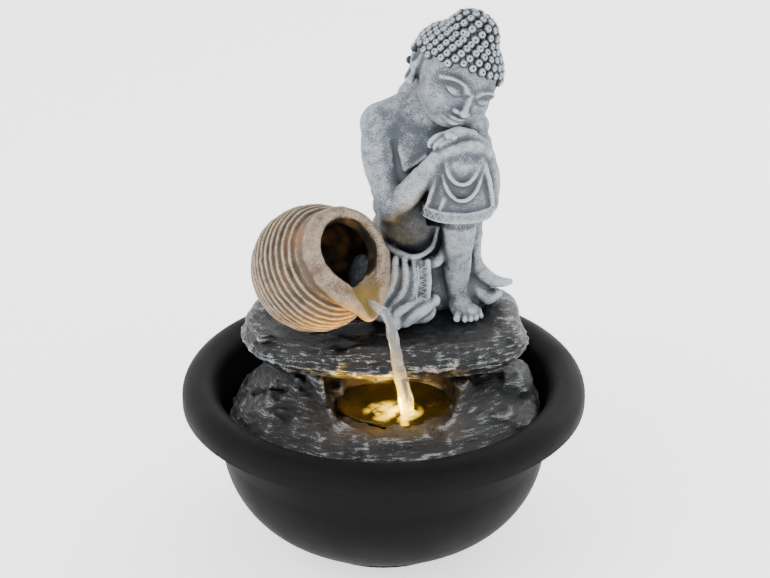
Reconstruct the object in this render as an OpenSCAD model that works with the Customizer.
// Tabletop water fountain: a bowl holds the water and a submersible pump, and a
// hollow rock sculpture with a figure and a tipped jug lifts off above them.
// Millimetres, +Z up, front at -Y, origin on the table at the bowl's centre.

/* [Bowl] */
// Outer diameter of the rolled rim
rim_d = 210; // [196:1:240]
// Height of the rim's crest above the table
bowl_h = 94; // [88:1:108]
// Wall of the moulded bowl
bowl_wall = 2.5; // [2:0.1:3.2]
// Radius of the rolled lip's outside
lip_r = 9.5; // [8:0.5:11]
// Straight skirt below the lip's roll
lip_drop = 3.5; // [2:0.5:6]
// How much the wall narrows from the lip to the corner
bowl_draft = 3.3; // [2:0.1:5]
// Outside radius of the rounded corner between wall and floor
corner_r = 52; // [46:1:54]
// Diameter of the foot ring
foot_d = 89; // [84:1:94]
// Height of the foot ring below the floor
foot_h = 4; // [3:0.5:5]
// Diameter of a rubber foot
pad_d = 14; // [10:1:16]
// How far the rubber feet stand below the foot ring
pad_proud = 1; // [0.5:0.5:2]

/* [Rock] */
// Wall of the hollow castings
rock_wall = 4.5; // [3.5:0.5:5.5]
// Free space between rock and bowl
rock_gap = 3; // [2:0.5:5]
// Height of the lugs that carry the rock
lug_h = 20; // [18:1:22]
// Outside radius of the rock where it stands on the lugs
rock_foot_r = 60; // [58:1:62]
// Front to back half depth of the rock at the water line
rock_ry = 63; // [60:1:66]
// Height of the pool's water above the rim's crest
pool_rise = -10; // [-12:1:-8]
// Half width of the pool
pool_rx = 30; // [26:1:32]
// Half depth of the pool, front to back
pool_ry = 26; // [22:1:28]
// Depth of the pool below its water
pool_depth = 7.5; // [6:0.5:9]
// Gap between the pool's water and the ledge above it
ledge_gap = 13; // [11:0.5:15]
// Thickness of the ledge
ledge_t = 17.5; // [15:0.5:20]
// Half width of the ledge
ledge_rx = 72; // [66:1:76]
// Half depth of the ledge
ledge_ry = 42; // [40:1:46]

/* [Jug] */
// Radius of the jug's belly
jug_r = 33; // [31:0.5:35]
// Wall of the jug
jug_wall = 4; // [3:0.5:5]
// Radius of the opening
mouth_r = 17; // [15:0.5:18]
// How far the axis is tipped up from level
jug_tilt = 36; // [30:1:42]
// How far the axis is turned from the right towards the front
jug_turn = 47.5; // [42:0.5:52]
// Number of grooves round the belly
rib_count = 9; // [6:1:12]
// Depth of a groove
rib_depth = 1; // [0.5:0.1:1.5]

/* [Figure] */
// Height of the seated figure above the ledge
figure_h = 162; // [145:1:178]

/* [Pump] */
// Width of the pump
pump_w = 40; // [38:1:44]
// Depth of the pump's housing, without its grille
pump_d = 30; // [29:1:33]
// Height of the pump's housing
pump_h = 40; // [40:1:44]
// Height of the suction cups
cup_h = 4; // [3:0.5:6]
// Depth of the clip-on intake grille
grille_d = 11; // [10:1:13]
// Radius of the impeller chamber
chamber_r = 12; // [11:0.5:13]
// Outside radius of the outlet nozzle
nozzle_r = 4.4; // [4:0.1:5]
// Height of the outlet nozzle
nozzle_h = 12; // [9:1:14]
// Radius of the rotor magnet
magnet_r = 6; // [5:0.5:6.5]
// Radius of the ceramic shaft
shaft_r = 1; // [0.8:0.1:1.5]

/* [Hose and light] */
// Wall of the riser hose
hose_wall = 1.5; // [1:0.1:2]
// Radius of the light's body
led_r = 8; // [7:0.5:9]
// Length of the light's body below the pool floor
led_len = 14; // [12:1:17]

/* [Hidden] */
$fn = 48;
eps = 0.01;
fit = 0.2;        // radial clearance of a sliding or turning fit
shaft_fit = 0.05; // radial clearance of the rotor on its shaft
glue = 0.15;      // bond line between castings

// Bowl
rim_r = rim_d / 2;
foot_r = foot_d / 2;
lip_z = bowl_h - lip_r;
lip_cx = rim_r - lip_r;                 // centre of the lip's roll
mouth_in = rim_r - 2 * lip_r;           // inside radius of the bowl at its top
wall_low = mouth_in + bowl_wall - bowl_draft;  // outside radius where the corner starts
arc_cx = wall_low - corner_r;
floor_z = pad_proud + foot_h;           // underside of the floor
arc_cz = floor_z + corner_r;
floor_top = floor_z + bowl_wall;
foot_ring_w = 4;
pad_at = foot_r - foot_ring_w - pad_d / 2 - 3;
lug_w = 7;
lug_angle = 16;

// Heights of the sculpture
water_z = bowl_h + pool_rise;           // water in the pool
pool_floor = water_z - pool_depth;
ledge_z = water_z + ledge_gap;          // underside of the ledge
ledge_top = ledge_z + ledge_t;
pool_at = [6, -20];
rock_at = [3, 1];
ledge_at = [0, 23];
shoulder_z = bowl_h - 19;               // widest level of the rock, near the bowl's water
pin_x = 46;                             // dowel pins of the ledge
pin_y = 14;
pin_r = 4;
peg_r = 5;                              // peg under the figure
shell_gap = 1.2;                        // free space round the hose where it passes through
lug_top = lug_h;

// Pump frame: its origin is the middle of the housing's intake face, at the housing's base
pump_at = [-16, 16, floor_top + cup_h];
gland_x = 10;
axis_z = chamber_r + 3;                 // height of the rotor's axis in the housing
chamber_d = 8;
well_r = magnet_r + 0.8;
well_wall = 1.2;
well_d = 24;
magnet_l = 14;
impeller_r = chamber_r - 1.5;
nozzle_bore = nozzle_r - 1.2;
nozzle_at = [pump_at[0], pump_at[1] - chamber_d / 2];
nozzle_top = pump_at[2] + pump_h + nozzle_h;
skirt_t = 1.6;                          // wall of the intake grille
skirt_lap = 3;                          // how far the grille slips over the housing
cup_x = pump_w / 2 - 9;
cup_y = [-6, 6 - pump_d];
slot_pitch = 4;
track_z = [3, 6];
track_d = 1.2;
track_end = 5;
shutter_w = pump_w / 2 - 4 - track_end;
shutter_x = track_end - pump_w / 2 + shutter_w / 2;
core_leg = 4;
core_d = 12;
core_y = -12;                           // front of the lamination stack
leg_x = well_r + well_wall + fit;
coil_t = 2.4;
coil_z = axis_z + well_r + well_wall + 0.6;
yoke_z = pump_h - 2.5 - core_leg;
coil_h = yoke_z - coil_z - 0.4;
pocket_x = leg_x + core_leg + coil_t + 0.8;

// Jug
jug_at = [-35.2, 8, ledge_top + jug_r + 1.5];
collar_in = 24;                         // where the collar leaves the belly, along the axis
mouth_z = jug_r + 1;                    // plane of the mouth, along the axis
collar_r = mouth_r + 5.5;
spout_out = jug_r + 4;                  // radial reach of the spout's tip
spout_z = mouth_z - 6;
cradle_r = 15;

// Riser hose: straight up from the nozzle through the rock, over the jug's inlet tube
hose_ir = nozzle_r + fit;
hose_or = hose_ir + hose_wall;
inlet_at = nozzle_at;
hose_low = nozzle_top - nozzle_h + 1;
hose_high = ledge_top - 2;
inlet_r = hose_ir - fit;

// Light
light_at = [2, -22];
flange_t = 1.5;
gasket_t = 1;
flange_z = pool_floor + gasket_t;
light_wall = 1.4;
board_z = flange_z - 5;
light_bottom = pool_floor - rock_wall - led_len;
lead_r = 1.5;
socket_at = [pump_at[0] + 13, pump_at[1] - pump_d + 8, pump_at[2] + pump_h];
socket_h = 6;
plug_h = 9;

// ---------- outlines and helpers ----------
function smooth(t) = let (c = min(1, max(0, t))) c * c * (3 - 2 * c);
function mix(a, b, t) = a + (b - a) * t;

// Radius at angle a of a rounded rectangle-like outline with half sizes rx and ry
function slab_r(a, rx, ry, n = 2.6) =
  1 / pow(pow(abs(cos(a)) / rx, n) + pow(abs(sin(a)) / ry, n), 1 / n);

// Lumps of broken rock: a few sines that never repeat from one layer to the next
function lump(a, seed) =
  0.5 * sin(3 * a + 47 * seed) + 0.3 * sin(5 * a + 131 * seed) + 0.2 * sin(9 * a + 71 * seed);

// A closed stack of rings, each [centre, z, radii round the ring]
module ring_stack(rings) {
  n = len(rings[0][2]);
  m = len(rings);
  side = [for (ring = rings) for (i = [0:n - 1]) let (a = 360 * i / n)
    [ring[0][0] + ring[2][i] * cos(a), ring[0][1] + ring[2][i] * sin(a), ring[1]]];
  points = concat(side, [[rings[0][0][0], rings[0][0][1], rings[0][1]],
    [rings[m - 1][0][0], rings[m - 1][0][1], rings[m - 1][1]]]);
  walls = [for (k = [0:m - 2]) for (i = [0:n - 1]) let (j = (i + 1) % n)
    each [[k * n + i, (k + 1) * n + i, (k + 1) * n + j], [k * n + i, (k + 1) * n + j, k * n + j]]];
  ends = [for (i = [0:n - 1]) let (j = (i + 1) % n)
    each [[m * n, i, j], [m * n + 1, (m - 1) * n + j, (m - 1) * n + i]]];
  polyhedron(points, concat(walls, ends), convexity = 6);
}

// Points of one ring of a tube round p, square to direction d
function ring_points(p, d, r, sides) =
  let (u = d / norm(d),
    side = abs(u[0]) > 0.9 ? [0, 1, 0] : [1, 0, 0],
    v = cross(u, side) / norm(cross(u, side)),
    w = cross(u, v))
  [for (i = [0:sides - 1]) let (a = 360 * i / sides) p + r * cos(a) * v + r * sin(a) * w];

// A round lead swept along a route
module swept_tube(route, r, sides = 8) {
  n = len(route);
  points = [for (i = [0:n - 1])
    each ring_points(route[i], route[min(n - 1, i + 1)] - route[max(0, i - 1)], r, sides)];
  walls = [for (i = [0:n - 2]) for (k = [0:sides - 1])
    let (j = (k + 1) % sides, a = i * sides, b = a + sides)
    each [[a + k, a + j, b + j], [a + k, b + j, b + k]]];
  polyhedron(points, concat([[for (k = [sides - 1:-1:0]) k]], walls,
    [[for (k = [0:sides - 1]) (n - 1) * sides + k]]));
}

// A point on a smooth curve through four neighbours, for routes given by few points
function curve(p0, p1, p2, p3, t) =
  0.5 * ((2 * p1) + (p2 - p0) * t + (2 * p0 - 5 * p1 + 4 * p2 - p3) * t * t
    + (3 * p1 - p0 - 3 * p2 + p3) * t * t * t);
function smooth_route(p, steps) =
  let (n = len(p))
  concat([for (i = [0:n - 2]) for (k = [0:steps - 1])
    curve(p[max(0, i - 1)], p[i], p[i + 1], p[min(n - 1, i + 2)], k / steps)], [p[n - 1]]);

module ring(r_out, r_in, h) {
  difference() {
    cylinder(r = r_out, h = h);
    translate([0, 0, -1]) cylinder(r = r_in, h = h + 2);
  }
}

module slab(x, y, z) { // a block centred in X, from y[0] to y[1] and z[0] to z[1]
  translate([-x / 2, y[0], z[0]]) cube([x, y[1] - y[0], z[1] - z[0]]);
}

module along_y(r, y0, y1) { // a cylinder on the rotor's axis
  translate([0, y0, 0]) rotate([-90, 0, 0]) cylinder(r = r, h = y1 - y0);
}

// ---------- bowl ----------
module bowl_region(inset) { // half section of the bowl's body, drawn in by inset
  r = corner_r - inset;
  square_top = lip_z + (inset > 0 ? 1 : 0);
  translate([0, arc_cz - r]) square([arc_cx, r]);
  intersection() {
    translate([arc_cx, arc_cz]) circle(r, $fn = 96);
    translate([arc_cx, arc_cz - r]) square([r + 1, r]);
  }
  polygon([[0, arc_cz], [arc_cx + r, arc_cz], [mouth_in + bowl_wall - inset, lip_z],
    [mouth_in + bowl_wall - inset, square_top], [0, square_top]]);
}

module lip_section() {
  translate([lip_cx, lip_z]) intersection() {
    difference() {
      circle(lip_r, $fn = 96);
      circle(lip_r - bowl_wall, $fn = 96);
    }
    translate([-lip_r, 0]) square([2 * lip_r, lip_r]);
  }
  translate([rim_r - bowl_wall, lip_z - lip_drop]) square([bowl_wall, lip_drop]);
}

module bowl_lugs() {
  lug_half = rock_foot_r * sin(lug_angle / 2);
  intersection() {
    rotate_extrude($fn = 96) bowl_region(bowl_wall / 2);
    translate([0, 0, floor_z]) ring(rock_foot_r + 1, rock_foot_r + 1 - lug_w, lug_top - floor_z);
    for (a = [45:90:315]) rotate(a) translate([0, -lug_half, 0]) cube([rim_r, 2 * lug_half, lug_top]);
  }
}

module bowl() {
  color("#1b1b1c") {
    rotate_extrude($fn = 96) {
      difference() {
        bowl_region(0);
        bowl_region(bowl_wall);
      }
      lip_section();
      translate([foot_r - foot_ring_w, pad_proud]) square([foot_ring_w, foot_h + bowl_wall / 2]);
    }
    bowl_lugs();
  }
}

module rubber_feet() {
  color("#0e0e0e") for (a = [0:90:270]) rotate(a) translate([pad_at, 0, 0])
    cylinder(d = pad_d, h = floor_z);
}

// ---------- pump ----------
module in_pump(z = 0) {
  translate(pump_at + [0, 0, z]) children();
}

module pump_block(x, y, z, r = 3) { // block with rounded upright edges
  for (s = [-1, 1]) translate([s * (x / 2 - r), 0, 0]) slab(2 * r, [y[0] + r, y[1] - r], z);
  slab(x - 2 * r, y, z);
  for (s = [-1, 1]) for (q = [y[0] + r, y[1] - r])
    translate([s * (x / 2 - r), q, z[0]]) cylinder(r = r, h = z[1] - z[0]);
}

module pump_housing() {
  color("#202326") in_pump() difference() {
    union() {
      pump_block(pump_w, [-pump_d, 0], [0, pump_h]);
      translate([0, -chamber_d / 2, pump_h - 1]) cylinder(r = nozzle_r, h = nozzle_h + 1);
    }
    translate([0, 0, axis_z]) {
      along_y(chamber_r, -chamber_d, 1);
      along_y(well_r, -well_d, 0);
      along_y(2.2, -well_d - 2, 0);
    }
    translate([0, -chamber_d / 2, axis_z]) cylinder(r = nozzle_bore, h = pump_h + nozzle_h);
    // pocket for the stator, open at the back, round the rotor's well
    difference() {
      slab(2 * pocket_x, [-pump_d - 1, -chamber_d - 1.5], [2, pump_h - 2]);
      translate([0, 0, axis_z]) along_y(well_r + well_wall, -well_d - 3, 0);
    }
    // seats for the cups, and a step that the grille slips over
    for (s = [-1, 1]) for (y = cup_y) translate([s * cup_x, y, -1]) cylinder(r = 2, h = 2.5);
    difference() {
      slab(pump_w + 2, [-skirt_lap, 1], [-1, pump_h + 1]);
      pump_block(pump_w - 2 * (skirt_t + fit), [-skirt_lap - 5, 2],
        [skirt_t + fit, pump_h - skirt_t - fit], 2);
      translate([0, -chamber_d / 2, pump_h - skirt_t - 1]) cylinder(r = nozzle_r, h = skirt_t + 3);
    }
  }
}

module core_shape() {
  for (s = [-1, 1]) translate([s * (leg_x + core_leg / 2), 0, 0])
    slab(core_leg, [core_y - core_d, core_y], [3, yoke_z + eps]);
  slab(2 * (leg_x + core_leg), [core_y - core_d, core_y], [yoke_z, yoke_z + core_leg]);
}

module stator_core() {
  color("#8c9196") in_pump() core_shape();
}

module coil_block() {
  slab(core_leg + 2 * coil_t, [core_y - core_d - coil_t, core_y + coil_t - 0.4],
    [coil_z, coil_z + coil_h]);
}

module coil_shape() {
  for (s = [-1, 1]) translate([s * (leg_x + core_leg / 2), 0, 0]) difference() {
    coil_block();
    slab(core_leg + 0.2, [core_y - core_d - 0.1, core_y + 0.1], [coil_z - 1, coil_z + coil_h + 1]);
  }
}

module stator_coils() {
  color("#b4632f") in_pump() coil_shape();
}

module potting() {
  color("#3b3f44") in_pump() difference() {
    slab(2 * pocket_x, [-pump_d, -chamber_d - 1.5], [2, pump_h - 2]);
    translate([0, 0, axis_z]) along_y(well_r + well_wall, -well_d - 3, 0);
    core_shape();
    for (s = [-1, 1]) translate([s * (leg_x + core_leg / 2), 0, 0]) coil_block();
    translate([gland_x, -pump_d - 1, pump_h - 8]) rotate([-90, 0, 0])
      cylinder(r = 2.5 + eps, h = 4);
  }
}

module rotor_magnet() {
  color("#33363a") in_pump(axis_z) difference() {
    along_y(magnet_r, -chamber_d - 1 - magnet_l, -chamber_d - 1);
    along_y(shaft_r + shaft_fit, -pump_d, 0);
  }
}

module impeller() {
  vane_y = [-chamber_d + 1, -2];
  color("#e6e2d6") in_pump(axis_z) difference() {
    union() {
      along_y(3.4, -chamber_d - 1, -2);
      along_y(impeller_r, vane_y[0], vane_y[0] + 1);
      for (a = [0:60:300]) rotate([0, a, 0]) translate([impeller_r / 2, 0, 0])
        slab(impeller_r - 1, vane_y, [-0.6, 0.6]);
    }
    along_y(shaft_r + shaft_fit, -pump_d, 1);
  }
}

module pump_shaft() {
  color("#f3f1ea") in_pump(axis_z) along_y(shaft_r, -well_d - 1.5, 1.5);
}

module shaft_bushes() {
  color("#4a4a4a") in_pump(axis_z) for (y = [[-well_d - 2, -well_d], [0.2, 2]]) difference() {
    along_y(2.2, y[0], y[1]);
    along_y(shaft_r, -well_d - 1.5, 1.5);
  }
}

module chamber_cover() { // disc with an inlet eye, and a spider that holds the front bush
  color("#3a3f45") in_pump(axis_z) {
    difference() {
      union() {
        along_y(chamber_r - fit, -1.2, 0);
        along_y(chamber_r + 1, 0, 1.6);
      }
      along_y(6, -3, 3);
    }
    difference() {
      union() {
        along_y(3.2, 0, 2.6);
        for (a = [0:60:120]) rotate([0, a, 0]) slab(13, [0, 1.6], [-0.8, 0.8]);
      }
      along_y(2.2, 0.2, 2);
      along_y(shaft_r + shaft_fit, -1, 1);
    }
  }
}

module chamber_seal() {
  color("#111111") in_pump(axis_z) translate([0, -1.9, 0]) rotate([-90, 0, 0])
    rotate_extrude() translate([chamber_r - 0.65, 0]) circle(0.6, $fn = 24);
}

module grille_slots() { // on one side only: the slider's shutter parks on the other side
  for (x = [-2:slot_pitch:pump_w / 2 - 6]) translate([x, 0, 0])
    slab(slot_pitch / 2, [grille_d - skirt_t - 1, grille_d + 1], [8, pump_h - 8]);
}

module intake_grille() {
  notch_front = nozzle_r - chamber_d / 2 + 0.6;
  color("#2a2f34") in_pump() difference() {
    pump_block(pump_w, [-skirt_lap + fit, grille_d], [0, pump_h]);
    pump_block(pump_w - 2 * skirt_t, [-skirt_lap - 5, grille_d - skirt_t], [skirt_t, pump_h - skirt_t], 2);
    grille_slots();
    // notch that clears the nozzle when the grille is pulled off
    slab(2 * nozzle_r + 2, [-skirt_lap - 1, notch_front], [pump_h - skirt_t - 1, pump_h - skirt_t + 3]);
    // track of the flow slider
    slab(pump_w - 2 * track_end, [grille_d - track_d, grille_d + 1], track_z);
  }
}

module flow_slider() { // shutter plate with a thumb tab, guided by a key in the grille's track
  color("#c9ccd0") in_pump() translate([shutter_x, 0, 0]) {
    slab(shutter_w, [grille_d + 0.2, grille_d + 1.2], [track_z[0] + 0.2, pump_h - 8]);
    slab(shutter_w - 3, [grille_d - track_d + 0.2, grille_d + 0.3], [track_z[0] + 0.2, track_z[1] - 0.2]);
    slab(4, [grille_d + 1, grille_d + 3.5], [pump_h / 2 - 5, pump_h / 2 + 5]);
  }
}

module suction_cups() {
  color("#2b2b2b") in_pump() for (s = [-1, 1]) for (y = cup_y) translate([s * cup_x, y, 0]) {
      difference() {
        translate([0, 0, -cup_h]) cylinder(r1 = 5.5, r2 = 2.4, h = cup_h);
        translate([0, 0, -cup_h - eps]) cylinder(r1 = 4.6, r2 = 1.2, h = cup_h - 1.5);
      }
      translate([0, 0, -eps]) cylinder(r = 1.9, h = 1.4);
    }
}

module supply_gland() { // collar where the supply cord enters the potted housing
  color("#0c0c0c") in_pump() translate([gland_x, -pump_d, pump_h - 8]) rotate([90, 0, 0])
    difference() {
      union() {
        translate([0, 0, -2.9]) cylinder(r = 2.5, h = 3);
        cylinder(r1 = 4, r2 = 3.2, h = 4);
      }
      translate([0, 0, -2.9 + 0.5]) cylinder(r = 1.5, h = 10);
    }
}

module light_socket() {
  color("#15171a") translate(socket_at) difference() {
    cylinder(r = 4.5, h = socket_h);
    translate([0, 0, 1.5]) cylinder(r = 3.2, h = socket_h);
  }
}

// ---------- rock ----------
rock_sides = 40;
function bowl_inside(z) = z >= arc_cz
  ? mix(wall_low - bowl_wall, mouth_in, (z - arc_cz) / (lip_z - arc_cz))
  : arc_cx + sqrt(max(0, pow(corner_r - bowl_wall, 2) - pow(arc_cz - z, 2)));

// Outline of the rock: round at its foot, then as wide as the bowl allows, with lumps
function rock_radii(z, scale, inset) = [for (i = [0:rock_sides - 1])
  let (a = 360 * i / rock_sides,
    room = bowl_inside(min(z, lip_z)) - rock_gap,
    wide = min(room, slab_r(a, mouth_in - rock_gap, rock_ry, 2.2) + 2 * lump(a, z / 7) - 1) - norm(rock_at),
    t = smooth((z - lug_top - 4) / 30))
  mix(min(rock_foot_r, room), wide * scale, t) - inset];

// Levels of the rock's outside: [height, share of the full outline, how far the middle moves back]
rock_levels = [[lug_top, 1, 0], [lug_top + 8, 1, 0], [lug_top + 20, 1, 0], [lug_top + 34, 1, 0],
  [shoulder_z - 8, 0.99, 0], [shoulder_z, 1, 0], [shoulder_z + 5, 0.95, 1], [water_z - 1, 0.9, 3],
  [water_z + 3, 0.8, 6], [water_z + 7, 0.62, 12], [water_z + 10, 0.46, 18]];
function rock_rings(inset, top) = [for (k = rock_levels) if (k[0] <= top)
  [rock_at * smooth((k[0] - lug_top - 4) / 30) + [0, k[2]], k[0], rock_radii(k[0], k[1], inset)]];

module pedestal(inset, low, high) { // neck of rock under the ledge
  ring_stack([for (z = [low, (low + high) / 2, high])
    [[ledge_at[0], ledge_at[1] + 4], z, [for (i = [0:rock_sides - 1]) let (a = 360 * i / rock_sides)
      slab_r(a, ledge_rx - 10, ledge_ry - 9, 2.4) + 1.5 * lump(a, z / 9) - inset]]]);
}

module hose_hole(low, high) {
  translate([inlet_at[0], inlet_at[1], low]) cylinder(r = hose_or + shell_gap, h = high - low);
}

module rock_base() {
  cavity_top = pool_floor - rock_wall;
  color("#3a3d42") difference() {
    union() {
      ring_stack(rock_rings(0, water_z + 10));
      pedestal(0, water_z - 4, ledge_z);
    }
    ring_stack(concat([[[0, 0], lug_top - 1, rock_radii(lug_top, 1, rock_wall)]],
      rock_rings(rock_wall, cavity_top - 4),
      [[rock_at, cavity_top, rock_radii(shoulder_z, 0.94, rock_wall + 2)]]));
    // raised room round the hose, under the pedestal
    translate([inlet_at[0] - 20, inlet_at[1] - 4, cavity_top - 1]) cube([40, 30, ledge_z - 6 - cavity_top]);
    translate([pool_at[0], pool_at[1], pool_floor]) linear_extrude(40)
      scale([1, pool_ry / pool_rx]) circle(pool_rx);
    hose_hole(water_z - 20, ledge_z + 1);
    translate([light_at[0], light_at[1], cavity_top - 1]) cylinder(r = led_r + fit, h = rock_wall + 2);
    for (s = [-1, 1]) translate([ledge_at[0] + s * pin_x, ledge_at[1] + pin_y, ledge_z - 7])
      cylinder(r = pin_r + fit, h = 8);
  }
}

// Slate layers of the ledge: [bottom, top, how far the layer stands out, seed of its lumps]
ledge_layers = [[0, 0.28, -4, 1.3], [0.33, 0.6, 0, 2.1], [0.64, 0.8, 0.5, 3.7], [0.84, 1, -2.5, 4.4]];
function ledge_outline(grow, seed) = [for (i = [0:rock_sides - 1]) let (a = 360 * i / rock_sides)
  slab_r(a, ledge_rx + grow, ledge_ry + grow, 2.8) + 1.6 * lump(a, seed)];

module ledge_knob() { // raised rock at the right end
  ring_stack([for (k = [[ledge_top - 3, 1], [ledge_top + 3, 0.9], [ledge_top + 7, 0.5]])
    [[ledge_rx - 10, ledge_at[1] + 6], k[0],
      [for (i = [0:23]) let (a = 15 * i) k[1] * (slab_r(a, 8, 20, 2.4) + 0.8 * lump(a, k[0]))]]]);
}

module rock_ledge() {
  color("#45494f") difference() {
    union() {
      ring_stack([for (l = ledge_layers) for (k = [0, 1])
        [ledge_at, ledge_z + l[k] * ledge_t, ledge_outline(l[2], l[3])]]);
      ledge_knob();
      // cradle under the jug, and a mound round its inlet
      translate([jug_at[0], jug_at[1], ledge_top - 1]) cylinder(r = cradle_r, h = 6);
      translate([inlet_at[0], inlet_at[1], ledge_top - 2])
        cylinder(r1 = hose_or + 6, r2 = hose_or + 4, h = 11);
      for (s = [-1, 1]) translate([ledge_at[0] + s * pin_x, ledge_at[1] + pin_y, ledge_z - 6])
        cylinder(r = pin_r, h = 8);
    }
    translate(jug_at) sphere(jug_r + glue, $fn = 60);
    hose_hole(ledge_z - 1, ledge_top + 12);
    translate([figure_at[0], figure_at[1], ledge_top - 8]) cylinder(r = peg_r + fit, h = 9);
  }
}

// ---------- figure ----------
figure_at = [20, 38, ledge_top];
figure_scale = figure_h / 162;
// Joints of the seated body, from the middle of its seat at a height of 162
pelvis = [-3, 4, 17];
waist = [-5, 5, 50];
chest = [0, 2, 82];
shoulder_r = [-20, 0, 102];
shoulder_l = [24, 0, 101];
neck_low = [4, -3, 107];
neck_high = [12, -8, 121];
head = [18, -9, 134];
head_tilt = 30;
topknot = [29, -4, 153];
elbow_r = [-13, -21, 62];
wrist_r = [7, -26, 96];
hand_r = [24, -28, 101];
elbow_l = [33, -15, 66];
wrist_l = [29, -22, 102];
hand_l = [8, -26, 105];
hip_l = [12, 4, 22];
knee_l = [19, -25, 89];
hem_l = [19, -23, 64];
shin_l = [17.5, -24, 58];
ankle_l = [18.5, -19, 18];
heel_l = [18.5, -13, 7];
toes_l = [24, -21, 4.5];
hip_r = [-6, 2, 26];
knee_r = [-18, -9, 19];
shin_r = [-9, -25, 8];
sole_r = [7, -25, 12];
robe_tail = [42, -10, 16];

module limb(p, q, rp, rq) {
  hull() {
    translate(p) sphere(rp, $fn = 20);
    translate(q) sphere(rq, $fn = 20);
  }
}

module blob(p, size) { // an ellipsoid with half sizes in size
  translate(p) scale(size) sphere(1, $fn = 24);
}

module torso() {
  hull() {
    blob(pelvis, [25, 21, 17]);
    blob(waist, [21, 16, 15]);
  }
  hull() {
    blob(waist, [21, 16, 15]);
    blob(chest, [20, 15, 15]);
    blob(shoulder_r, [10, 11, 9]);
    blob(shoulder_l, [9, 10, 9]);
  }
  limb(neck_low, neck_high, 9, 8);
}

module head_and_hair() {
  translate(head) rotate([0, head_tilt, 0]) blob([0, 0, 0], [24, 23, 25]);
  hull() {
    translate(head) rotate([0, head_tilt, 0]) blob([0, 2, 10], [21, 21, 15]);
    blob(topknot, [11, 11, 10]);
  }
}

module arms() {
  limb(shoulder_r, elbow_r, 9, 7.5);
  limb(elbow_r, wrist_r, 7.5, 5);
  limb(wrist_r, hand_r, 5, 4);
  limb(shoulder_l, elbow_l, 9, 7);
  limb(elbow_l, wrist_l, 7, 5.5);
  limb(wrist_l, hand_l, 5, 4);
}

module raised_leg() {
  limb(hip_l, knee_l, 15, 11);
  hull() {
    blob(knee_l, [12, 11, 11]);
    blob(hem_l, [18, 16, 4]);
    blob(hip_l + [2, 0, 22], [14, 14, 14]);
  }
  limb(shin_l, ankle_l, 8.5, 6.5);
  limb(ankle_l, heel_l, 7, 6.5);
  hull() {
    blob(heel_l, [6, 7, 6.5]);
    blob(toes_l, [9, 6, 4.5]);
  }
}

module folded_leg() {
  limb(hip_r, knee_r, 17, 12);
  limb(knee_r, shin_r, 12, 7);
  limb(shin_r, sole_r, 7, 5);
  limb(knee_r + [8, -2, -6], hip_l - [0, 12, 10], 13, 12);
  limb(hip_l + [14, -2, -8], robe_tail, 12, 5);
}

module figure() {
  color("#8f969e") translate(figure_at) {
    scale(figure_scale) difference() {
      union() {
        torso();
        head_and_hair();
        arms();
        raised_leg();
        folded_leg();
      }
      translate([0, 0, -100]) cube([300, 300, 200], center = true);
    }
    translate([0, 0, -6]) cylinder(r = peg_r, h = 8);
  }
}

// ---------- jug ----------
module in_jug() { // +Z here is the jug's axis, towards the mouth, and -X is its low side
  translate(jug_at) rotate([0, 0, -jug_turn]) rotate([0, 90 - jug_tilt, 0]) rotate([0, 0, 180]) children();
}

function belly(t) = [jug_r * sin(t), -jug_r * cos(t)];
rib_from = 34;
rib_to = 130;
rib_step = (rib_to - rib_from) / rib_count;

module jug_profile() {
  ribs = [for (i = [0:rib_count - 1]) let (t = rib_from + i * rib_step)
    each [belly(t), belly(t + 0.3 * rib_step) * (jug_r - rib_depth) / jug_r,
      belly(t + 0.5 * rib_step) * (jug_r - rib_depth) / jug_r, belly(t + 0.8 * rib_step)]];
  polygon(concat([[0, -jug_r + 0.8], [7, -jug_r + 0.8]], [for (t = [14:5:rib_from - 1]) belly(t)],
    ribs, [belly(rib_to), [collar_r - 1, collar_in], [collar_r, mouth_z - 2],
      [collar_r - 2, mouth_z], [0, mouth_z]]));
}

module spout(w, tip) { // pulled lip on the low side, w wide at the mouth
  hull() {
    translate([-w * 0.5, 0, mouth_z - 9]) cylinder(r = w * 0.75, h = 9, $fn = 32);
    translate([-spout_out + tip, 0, spout_z]) sphere(tip, $fn = 16);
  }
}

module jug() {
  color("#a98b6c") difference() {
    in_jug() difference() {
      union() {
        rotate_extrude($fn = 72) jug_profile();
        spout(mouth_r + 5, 4.5);
      }
      sphere(jug_r - jug_wall, $fn = 60);
      cylinder(r = mouth_r, h = jug_r + 10);
      translate([-3, 0, mouth_z - 3]) hull() {
        cylinder(r = mouth_r - 1.5, h = 12, $fn = 32);
        translate([-spout_out + 5, 0, -1.5]) cylinder(r = 2.6, h = 14, $fn = 16);
      }
    }
    translate([inlet_at[0], inlet_at[1], jug_at[2] - jug_r - 2]) cylinder(r = inlet_r + glue, h = jug_r);
  }
}

module jug_inlet() {
  z0 = ledge_top - 14;
  color("#d8dade") translate([inlet_at[0], inlet_at[1], 0]) difference() {
    translate([0, 0, z0]) cylinder(r = inlet_r, h = jug_at[2] - jug_r + 16 - z0);
    translate([0, 0, z0 - 1]) cylinder(r = inlet_r - 1.2, h = jug_r + 40);
  }
}

// ---------- riser hose ----------
module riser_hose() {
  color("#cfd6da") translate([inlet_at[0], inlet_at[1], hose_low])
    ring(hose_or, hose_ir, hose_high - hose_low);
}

// ---------- light ----------
module at_light(z) {
  translate([light_at[0], light_at[1], z]) children();
}

module light_housing() {
  color("#d9dbde") difference() {
    union() {
      at_light(light_bottom) cylinder(r = led_r, h = flange_z - light_bottom);
      at_light(flange_z) cylinder(r = led_r + 3, h = flange_t);
    }
    at_light(light_bottom + 2) cylinder(r = led_r - light_wall, h = 40);
    at_light(light_bottom - 1) cylinder(r = lead_r + 0.1, h = 5);
  }
}

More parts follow.
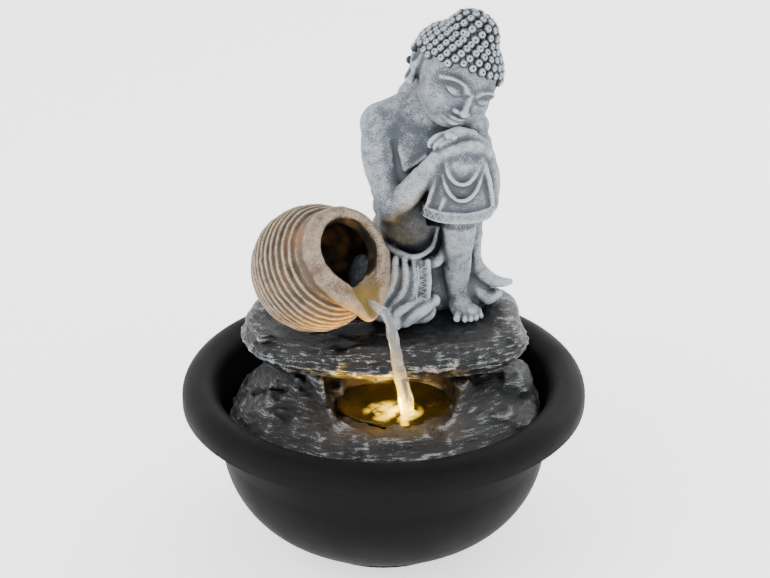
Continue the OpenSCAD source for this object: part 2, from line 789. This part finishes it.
module light_lens() {
  lens_r = led_r - light_wall - glue;
  color("#f4efd2", 0.6) {
    at_light(flange_z - 1.5) cylinder(r = lens_r, h = 1.5 + flange_t);
    at_light(flange_z + flange_t) intersection() {
      translate([0, 0, -lens_r * 1.3]) sphere(lens_r * 1.64);
      cylinder(r = lens_r, h = 5);
    }
  }
}

module light_board() {
  color("#2f6b3c") difference() {
    at_light(board_z) cylinder(r = led_r - light_wall - glue, h = 1.2);
    for (s = [-1, 1]) translate([light_at[0] + s * 4, light_at[1], board_z - 1]) cylinder(r = 0.6, h = 4);
  }
}

module light_emitter() {
  color("#f7e27a") at_light(board_z + 1.2) {
    translate([-2.5, -2.5, 0]) cube([5, 5, 1]);
    translate([0, 0, 1 - eps]) cylinder(r1 = 2, r2 = 1.2, h = 0.9);
  }
}

module light_gasket() {
  color("#111111") at_light(pool_floor) ring(led_r + 3, led_r + fit, gasket_t);
}

module light_nut() {
  color("#c4c8cc") at_light(pool_floor - rock_wall - 4) difference() {
    cylinder(r = led_r + 4, h = 4, $fn = 6);
    translate([0, 0, -1]) cylinder(r = led_r + 0.05, h = 6);
  }
}

plug_top = socket_at[2] + 1.5 + plug_h;
lead_from = [light_at[0], light_at[1], light_bottom];
lead_to = [socket_at[0], socket_at[1], plug_top];
lead_route = [lead_from, lead_from + [0, 0, -3], lead_from + [3, 2, -6], lead_from + [8, 5, -4],
  lead_from + [11, 9, 1], lead_to + [13, -3, 2], lead_to + [9, 0, 5], lead_to + [4, 0, 6],
  lead_to + [1, 0, 4], lead_to + [0, 0, 2], lead_to];

module light_lead() {
  color("#141414") swept_tube(smooth_route(lead_route, 4), lead_r);
}

module light_plug() {
  color("#1d1f22") translate(socket_at + [0, 0, 1.5]) {
    cylinder(r = 3.2 - fit, h = socket_h - 1);
    translate([0, 0, socket_h - 1]) cylinder(r1 = 4, r2 = 2.2, h = plug_h - socket_h + 1);
  }
}

bowl();
rubber_feet();
pump_housing();
stator_core();
stator_coils();
potting();
rotor_magnet();
impeller();
pump_shaft();
shaft_bushes();
chamber_cover();
chamber_seal();
intake_grille();
flow_slider();
suction_cups();
supply_gland();
light_socket();
rock_base();
rock_ledge();
figure();
jug();
jug_inlet();
riser_hose();
light_housing();
light_lens();
light_board();
light_emitter();
light_gasket();
light_nut();
light_lead();
light_plug();
